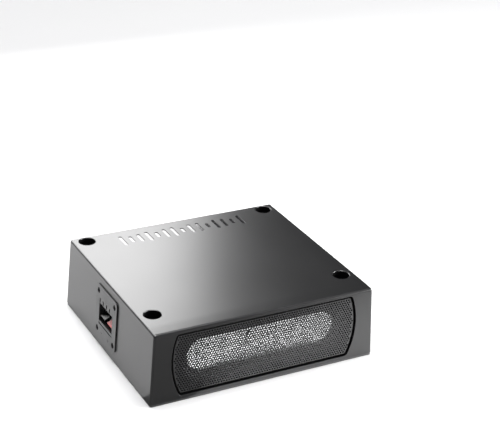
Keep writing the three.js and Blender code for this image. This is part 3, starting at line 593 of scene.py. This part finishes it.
def grille():
    """A perforated sheet with a rounded shoulder and a return rim."""
    edge = opening_loop(GRILLE_GAP + SHEET_INSET)
    rim = len(edge)
    centres = hole_centres()
    flat, kept, origin = perforated_sheet(edge, centres)
    position = {owner: i for i, owner in enumerate(origin)}
    bm = bmesh.new()
    front = [bm.verts.new((p.x, GRILLE_FACE, p.y)) for p in flat]
    rear = [bm.verts.new((p.x, GRILLE_FACE + GRILLE_SHEET, p.y)) for p in flat]
    for a, b, c in kept:
        bm.faces.new((front[a], front[b], front[c]))
        bm.faces.new((rear[c], rear[b], rear[a]))
    for hole in range(len(centres)):
        for i in range(HOLE_SIDES):
            a = position[rim + hole * HOLE_SIDES + i]
            b = position[rim + hole * HOLE_SIDES + (i + 1) % HOLE_SIDES]
            bm.faces.new((front[a], rear[a], rear[b], front[b]))
    rows = [[front[position[i]] for i in range(rim)]]
    for inset, depth in SHOULDER:
        loop = at_y(opening_loop(GRILLE_GAP + inset), GRILLE_FACE + depth)
        rows.append([bm.verts.new(p) for p in loop])
    rows.append([rear[position[i]] for i in range(rim)])
    for low, high in zip(rows, rows[1:]):
        for i in range(rim):
            j = (i + 1) % rim
            # the shoulder and rim faces take the painted gap shade
            bm.faces.new((low[i], low[j], high[j], high[i])).material_index = 1
    loose = [v for v in bm.verts if not v.link_faces]
    bmesh.ops.delete(bm, geom=loose, context="VERTS")
    for v in bm.verts:
        v.co = leant([v.co])[0]
    made = settle(mesh_object("perforated_grille", facing_out(bm)), "grille")
    # second slot: the painted gap shade on the shoulder and rim
    made.data.materials.append(GAP_SHADE)


# ---------------------------------------------------------------- driver
CONE_SKIN, CONE_CURVE, CONE_STEPS = 0.8, 1.4, 16
CAP_RADIUS, CAP_RISE, CAP_SKIN, CAP_STEPS = 12.2, 2.4, 0.6, 10


def cone():
    """The oblong rim drawn down to the round neck."""
    rim = track_loop(CONE_RADIUS)
    neck = [(FORMER + 0.3) * Vector((x / (TRACK_HALF + CONE_RADIUS), z / CONE_RADIUS)).normalized()
            for x, z in rim]
    face, rear = [], []
    for i in range(CONE_STEPS + 1):
        share = i / CONE_STEPS
        loop = [(x + (n.x - x) * share, z + (n.y - z) * share) for (x, z), n in zip(rim, neck)]
        y = CONE_RIM_Y + CONE_DEPTH * (1 - (1 - share) ** CONE_CURVE)
        face.append(at_y(loop, y, AXIS_Z))
        rear.append(at_y(loop, y + CONE_SKIN, AXIS_Z))
    bm = bmesh.new()
    skin(bm, face + rear[::-1], closed=True)
    return settle(mesh_object("cone_dish", facing_out(bm)), "cone", angle=50)


def dust_cap():
    """A shallow dish over the neck."""
    rim_y = NECK_Y - 0.5
    shares = [k / CAP_STEPS for k in range(1, CAP_STEPS + 1)]
    line = [(CAP_RADIUS * share, rim_y + CAP_RISE * (1 - share ** 2)) for share in shares]
    bm = bmesh.new()
    lathe(bm, "y", (0, AXIS_Z), [*line, *[(r, y + CAP_SKIN) for r, y in reversed(line)]], 64)
    return settle(mesh_object("centre_cap", facing_out(bm)), "dust_cap", angle=50)


def weigh_radially(obj, distance, outer, inner):
    """Works out for each vertex a share from 0 at the outer edge to 1 at the inner one, and keeps none
    of it.
    """
    for vertex in obj.data.vertices:
        share = (outer - distance(vertex.co)) / (outer - inner)
        share = min(max(share, 0.0), 1.0)


def track_distance(co):
    x = abs(co.x / MM - ORIGIN_SHIFT)
    return math.hypot(max(x - TRACK_HALF, 0), co.z / MM - AXIS_Z)


def axis_distance(co):
    return math.hypot(co.x / MM - ORIGIN_SHIFT, co.z / MM - AXIS_Z)


def surround():
    """Half-roll rubber edge with a land on the frame's flange and one on the cone."""
    thick = 0.6
    roll_out, roll_in = 27.7, CONE_RADIUS + 0.6
    middle, span = (roll_out + roll_in) / 2, (roll_out - roll_in) / 2
    base = FLANGE_FRONT - 0.1 - thick
    roll = [(middle + span * math.cos(math.pi * i / 14), base - 4 * math.sin(math.pi * i / 14))
            for i in range(15)]
    line = [(29.6, base), (28.4, base), *roll, (CONE_RADIUS - 1.2, base), (CONE_RADIUS - 2.4, base)]
    rings = [at_y(track_loop(r), y, AXIS_Z) for r, y in line]
    rings += [at_y(track_loop(r), y + thick, AXIS_Z) for r, y in reversed(line)]
    bm = bmesh.new()
    skin(bm, rings, closed=True)
    obj = settle(mesh_object("rubber_surround", facing_out(bm)), "surround", blended=True, angle=60)
    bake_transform(obj)
    weigh_radially(obj, track_distance, roll_out + 0.3, roll_in - 0.2)


def spider():
    """Corrugated suspension disc."""
    inner, outer = FORMER + 0.2, 25.2
    outer_y, inner_y = WEB_FRONT - 0.7, WEB_FRONT - 4
    steps = 60
    line = [(outer, outer_y)]
    for i in range(steps + 1):
        share = i / steps
        ripple = 0.85 * math.sin(share * 10 * math.pi) * min(1, 8 * share, 8 * (1 - share))
        line.append((outer - 2 - (outer - 2 - inner) * share,
                     outer_y + (inner_y - outer_y) * share - abs(ripple) * (1 if i % 12 < 6 else -0.6)))
    rings = [*line, *[(r, y + 0.5) for r, y in reversed(line)]]
    bm = bmesh.new()
    skin(bm, [[(r * math.cos(2 * math.pi * k / 72), y, AXIS_Z + r * math.sin(2 * math.pi * k / 72))
               for k in range(72)] for r, y in rings], closed=True)
    obj = settle(mesh_object("corrugated_spider", facing_out(bm)), "spider", blended=True, angle=60)
    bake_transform(obj)
    weigh_radially(obj, axis_distance, outer - 2, inner + 0.5)


# ---------------------------------------------------------------- wires
SPAN_STEPS = 14


def smooth_path(points):
    """A centripetal Catmull-Rom curve through the points."""
    control = [Vector(p) for p in points]
    control = [2 * control[0] - control[1], *control, 2 * control[-1] - control[-2]]
    path = []
    for a, b, c, d in zip(control, control[1:], control[2:], control[3:]):
        t0, t1 = 0.0, (b - a).length ** 0.5
        t2 = t1 + (c - b).length ** 0.5
        t3 = t2 + (d - c).length ** 0.5
        for k in range(SPAN_STEPS):
            t = t1 + (t2 - t1) * k / SPAN_STEPS
            a1 = (a * (t1 - t) + b * (t - t0)) / (t1 - t0)
            a2 = (b * (t2 - t) + c * (t - t1)) / (t2 - t1)
            a3 = (c * (t3 - t) + d * (t - t2)) / (t3 - t2)
            b1 = (a1 * (t2 - t) + a2 * (t - t0)) / (t2 - t0)
            b2 = (a2 * (t3 - t) + a3 * (t - t1)) / (t3 - t1)
            path.append((b1 * (t2 - t) + b2 * (t - t1)) / (t2 - t1))
    return [*path, control[-2]]


def wire(name, replaced, points, radius, sides=14, blended=False):
    """A round wire along a smooth path, with its sections kept from twisting."""
    path = smooth_path(points)
    normal = (path[1] - path[0]).orthogonal().normalized()
    rings = []
    for i, p in enumerate(path):
        ahead = (path[min(i + 1, len(path) - 1)] - path[max(i - 1, 0)]).normalized()
        normal = (normal - ahead * normal.dot(ahead)).normalized()
        side = ahead.cross(normal)
        rings.append([p + radius * (normal * math.cos(2 * math.pi * k / sides)
                                    + side * math.sin(2 * math.pi * k / sides))
                      for k in range(sides)])
    bm = bmesh.new()
    skin(bm, rings)
    return settle(mesh_object(name, facing_out(bm)), replaced, blended)


LEVER_Y = {"black": TERMINAL_Y + 9, "red": TERMINAL_Y - 9}
HEADER_TOP = 25.6
TAG_X = {"plus": 74, "minus": 63}


def all_wires():
    tab_end = -103.0
    for colour, to_x, to_y in (("red", -86.4, 31), ("black", -91.6, 41)):
        y = LEVER_Y[colour]
        wire(f"supply_lead_{colour}", f"supply_wire_{colour}", [
            SEAT @ Vector((tab_end + 0.4, y, 30.4)), SEAT @ Vector((tab_end + 5, y + 1, 30.6)),
            (to_x - 3, (y + to_y) / 2, 33),
            (to_x, to_y - 1, 31), (to_x, to_y, HEADER_TOP + 0.4)], 1.3)
    wire("signal_lead", "signal_cable", [
        SEAT @ Vector((PLATE_FACE + 16.1, TERMINAL_Y + 4, 56.2)),
        SEAT @ Vector((-107, TERMINAL_Y + 4, 56)), (-98, 18, 52), (-90, 40, 46),
        (-88, 54, 38), (-89, 59, 31), (-89, 59, HEADER_TOP + 0.4)], 1.8)
    for colour, from_x, tag in (("red", 17, "plus"), ("black", 11, "minus")):
        x = TAG_X[tag]
        wire(f"speaker_lead_{colour}", f"speaker_wire_{colour}", [
            (from_x, 33, HEADER_TOP + 0.4), (from_x + 2, 31, 32), (from_x + 20, 12, 34),
            (x - 4, -30, 37), (x, -62, AXIS_Z - 1), (x, -76.6, AXIS_Z)], 1.1)
    for pole, side in (("plus", 1), ("minus", -1)):
        x, start, y = TAG_X[pole], FORMER + 0.6, NECK_Y + 3.2
        lead = wire(f"braided_lead_{pole}", f"tinsel_lead_{pole}", [
            (start, y, AXIS_Z + side * 3), (start + 10, y + 3, AXIS_Z + side * 6),
            (start + 26, y + 1.4, AXIS_Z + side * 7), (x - 10, y + 3.4, AXIS_Z + side * 5),
            (x - 2, WEB_FRONT - 2.2, AXIS_Z + side * 1.2), (x, WEB_FRONT - 1.2, AXIS_Z)],
            0.5, 10, blended=True)
        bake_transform(lead)


# ---------------------------------------------------------------- refined CAD pieces
HARD_EDGE = math.radians(40)


def refined(cad_node, name, width, segments, blended=False, before=None):
    """A copy of a CAD piece with its flat faces whole and its hard edges rounded."""
    bm = bmesh.new()
    bm.from_mesh(NODES[cad_node].data)
    bm.transform(Matrix.Translation((-ORIGIN_SHIFT, 0, 0)) @ Matrix.Scale(1 / MM, 4))
    bmesh.ops.remove_doubles(bm, verts=bm.verts, dist=0.002)
    bmesh.ops.dissolve_limit(bm, angle_limit=math.radians(1), verts=bm.verts, edges=bm.edges)
    obj = mesh_object(name, bm)
    if before:
        before(obj)
    bevel = obj.modifiers.new("bevel", "BEVEL")
    bevel.width, bevel.segments, bevel.limit_method = width, segments, "ANGLE"
    bevel.angle_limit = HARD_EDGE
    bevel.harden_normals = False
    apply_modifiers(obj)
    obj.data.materials.clear()
    return settle(obj, cad_node, blended, angle=30)


MARK_HALF, STROKE_HALF, MARK_Z, MARK_DEPTH = 1.7, 0.35, 18.05, 0.25


def polarity_strokes(bm):
    """A minus under the black lever and a plus under the red one."""
    into = (PLATE_FACE - 1, PLATE_FACE + MARK_DEPTH)
    minus_y, plus_y = LEVER_Y["black"], LEVER_Y["red"]
    block(bm, into, (minus_y - MARK_HALF, minus_y + MARK_HALF),
          (MARK_Z - STROKE_HALF, MARK_Z + STROKE_HALF), SEAT)
    arm = [(MARK_HALF, STROKE_HALF), (STROKE_HALF, STROKE_HALF), (STROKE_HALF, MARK_HALF)]
    cross = []
    for _ in range(4):
        cross += arm
        arm = [(-v, u) for u, v in arm]
    skin(bm, [[SEAT @ Vector((x, plus_y + u, MARK_Z + v)) for u, v in cross] for x in into])


def sunk_polarity(panel):
    combine(panel, "DIFFERENCE", polarity_strokes)


THREAD_PITCH, THREAD_ROOT = 1.1, 0.82  # the root is a share of the shank's radius
RECESS_LONG, RECESS_SHORT = 0.55, 0.13  # shares of the head's radius
RECESS_DEPTH = 1.1


def screw_thread(shank, start, length):
    """Ridges along the shank, as (radius, depth) up to the screw's tip."""
    root = shank * THREAD_ROOT
    line = []
    for k in range(int((length - start) / THREAD_PITCH)):
        depth = start + 0.3 + k * THREAD_PITCH
        line += [(root, depth), (shank, depth + 0.35 * THREAD_PITCH),
                 (shank, depth + 0.5 * THREAD_PITCH), (root, depth + 0.85 * THREAD_PITCH)]
    return [(radius, min(depth, length)) for radius, depth in line]


def screw(name, replaced, axis, centre, head_at, head_profile, shank, length, seat=Matrix()):
    """A screw with a cross recess. The profile is (radius, depth from the head's top)."""
    profile = [*head_profile, *screw_thread(shank, head_profile[-1][1], length)]
    bm = bmesh.new()
    lathe(bm, axis, centre, [(radius, head_at + depth) for radius, depth in profile], 32)
    obj = mesh_object(name, facing_out(bm))
    head_radius = head_profile[1][0]
    long, short = head_radius * RECESS_LONG, head_radius * RECESS_SHORT
    into = (head_at - 0.5, head_at + RECESS_DEPTH)
    for u, v in ((short, long), (long, short)):
        across = (centre[0] - u, centre[0] + u)
        up = (centre[1] - v, centre[1] + v)
        spans = {"x": (into, across, up), "y": (across, into, up), "z": (across, up, into)}[axis]
        combine(obj, "DIFFERENCE", lambda bm: block(bm, *spans))
    obj.data.transform(seat)
    settle(obj, replaced, angle=30)


def all_screws():
    panel_head = [(1.0, 0.0), (3.05, 0.0), (3.2, 0.12), (1.3, 0.9)]
    places = [(TERMINAL_Y + u, TERMINAL_Z + v) for u in (-21.5, 21.5) for v in (-22.7, 22.7)]
    for i, centre in enumerate(places):
        screw(f"panel_screw_{i + 1}", f"terminal_screw_{i + 1}", "x", centre,
              PLATE_FACE + 0.2, panel_head, 1.3, 9, SEAT)
    base_head = [(1.0, 0.0), (2.95, 0.0), (3.1, 0.12), (1.2, 1.4)]
    for i, centre in enumerate(BASE_SCREWS):
        screw(f"under_screw_{i + 1}", f"base_screw_{i + 1}", "z", centre, 0.02, base_head, 1.2, 11)
    pan_head = [(1.2, 0.0), (2.3, 0.12), (2.9, 0.55), (3.2, 1.2), (3.2, 1.85), (1.35, 1.86)]
    for i in range(6):
        low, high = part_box(f"driver_screw_{i + 1}")
        centre = ((low.x + high.x) / 2 / MM - ORIGIN_SHIFT, (low.z + high.z) / 2 / MM)
        screw(f"flange_screw_{i + 1}", f"driver_screw_{i + 1}", "y", centre, low.y / MM, pan_head,
              1.35, 14.9)


def clip_springs():
    for colour in ("black", "red"):
        clip = refined(f"clip_spring_{colour}", f"clip_leaf_{colour}", 0.06, 1, blended=True)
        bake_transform(clip)


def refined_pieces():
    refined("terminal_plate", "terminal_panel", 0.3, 3, before=sunk_polarity)
    refined("lever_black", "black_push_lever", 0.35, 3)
    refined("lever_red", "red_push_lever", 0.35, 3)
    refined("base_plate", "under_plate", 0.25, 3)
    for i in range(4):
        refined(f"mount_bush_{i + 1}", f"steel_bush_{i + 1}", 0.3, 2)


def dress_cad_nodes():
    """Finishes for the CAD pieces that are shown as they are."""
    for name, obj in NODES.items():
        if obj.hide_render:
            continue
        mesh = obj.data
        mesh.materials.clear()
        mesh.materials.append(FINISH[SLOT_OF[name]])
        mesh.polygons.foreach_set("use_smooth", [True] * len(mesh.polygons))
        mesh.set_sharp_from_angle(angle=math.radians(32))


# ---------------------------------------------------------------- stage
CAMERA_ANGLES = (-28.927, 25.629, 2.905)  # azimuth, elevation and roll, in degrees
CAMERA_TARGET = (121.55 + ORIGIN_SHIFT, 151.61, 41.0)
CAMERA_DISTANCE, CAMERA_LENS, CAMERA_SENSOR = 1.67952, 97.69, 36  # metres, and the camera's own units


def camera():
    azimuth, elevation, roll = (math.radians(a) for a in CAMERA_ANGLES)
    target = Vector(CAMERA_TARGET) * MM
    away = Vector((math.sin(azimuth) * math.cos(elevation),
                   -math.cos(azimuth) * math.cos(elevation), math.sin(elevation)))
    ahead = -away
    side = ahead.cross(Vector((0, 0, 1))).normalized()
    up = side.cross(ahead)
    side, up = (side * math.cos(roll) + up * math.sin(roll),
                up * math.cos(roll) - side * math.sin(roll))
    data = bpy.data.cameras.new("camera")
    data.sensor_width, data.lens = CAMERA_SENSOR, CAMERA_LENS
    data.clip_start, data.clip_end = 0.05, 50
    made = bpy.data.objects.new("camera", data)
    bpy.context.scene.collection.objects.link(made)
    pose = Matrix((side, up, away)).transposed().to_4x4()
    pose.translation = target + away * CAMERA_DISTANCE
    made.matrix_world = pose
    bpy.context.scene.camera = made


def softbox(name, place, aim, size, power):
    """A rectangular light in metres, turned towards a point."""
    data = bpy.data.lights.new(name, "AREA")
    data.shape, data.size, data.size_y = "RECTANGLE", *size
    data.energy = power
    made = bpy.data.objects.new(name, data)
    bpy.context.scene.collection.objects.link(made)
    made.location = place
    made.rotation_mode = "QUATERNION"
    made.rotation_quaternion = (Vector(place) - Vector(aim)).to_track_quat("Z", "Y")
    made.visible_camera = False
    return made


def sheet_on_stage(name, corners, height, finish):
    bm = bmesh.new()
    bm.faces.new([bm.verts.new((x, y, height)) for x, y in corners])
    made = mesh_object(name, bm)
    made.data.materials.append(finish)
    return made


def floor():
    half = 9.0
    sheet_on_stage("floor", ((-half, -half), (half, -half), (half, half), (-half, half)), -0.0003,
                   material("floor_white", (0.86, 0.86, 0.86), 0.75, scale=300, depth=0.00001,
                            bump=0.02, vary=0.005, cloud=2))


def dark_card():
    """A grey sheet lying in front of the box, there only for its reflection in the box's faces."""
    near_left, near_right = Vector((-0.330, -0.006)), Vector((0.520, -0.403))
    away = Vector((-0.42, -0.9)) * 1.6
    card = sheet_on_stage("dark_card", (near_left, near_left + away, near_right + away, near_right),
                          0.0004, material("card_grey", (0.20, 0.20, 0.20), 0.9, scale=300))
    card.visible_camera = card.visible_diffuse = card.visible_shadow = False


ROOM, OVERHEAD = (0.06, 0.06, 0.062), (14.5, 14.5, 14.6)
OVERHEAD_EDGE = (0.955, 0.98)  # the height on a unit sphere over which the room turns into the panel


def world():
    """A dim room with a wide light panel far overhead."""
    made = bpy.data.worlds.new("studio")
    made.use_nodes = True
    tree = made.node_tree
    coords = tree.nodes.new("ShaderNodeTexCoord").outputs["Generated"]
    height = node(tree, "ShaderNodeSeparateXYZ", Vector=coords).outputs["Z"]
    rise = remap(tree, height, 0.0, 1.0, *OVERHEAD_EDGE)
    colour = blend_colours(tree, rise, ROOM, OVERHEAD)
    tree.links.new(colour, tree.nodes["Background"].inputs["Color"])
    bpy.context.scene.world = made


def lights():
    softbox("key", (-0.065, 1.0, 0.75), (-0.065, 0.0, 0.75), (1.07, 0.8), 15.5)
    softbox("fill_right", (1.3, -0.7, 0.5), (0.1, -0.1, 0.0), (0.8, 0.6), 27)


def floor_glow(pieces):
    """The pale floor's glow on the driver, as a low strip that lights only these pieces."""
    glow = softbox("floor_glow", (-0.02, -0.175, 0.004), (-0.01, -0.1, 0.05), (0.26, 0.07), 1.05)
    reached = bpy.data.collections.new("lit_by_floor_glow")
    for made in pieces:
        reached.objects.link(made)
    glow.light_linking.receiver_collection = reached


camera()
floor()
dark_card()
world()
lights()
bpy.context.scene.view_settings.view_transform = "Standard"

enclosure()
grille()
floor_glow([cone(), dust_cap()])
surround()
spider()
all_wires()
all_screws()
clip_springs()
refined_pieces()
dress_cad_nodes()
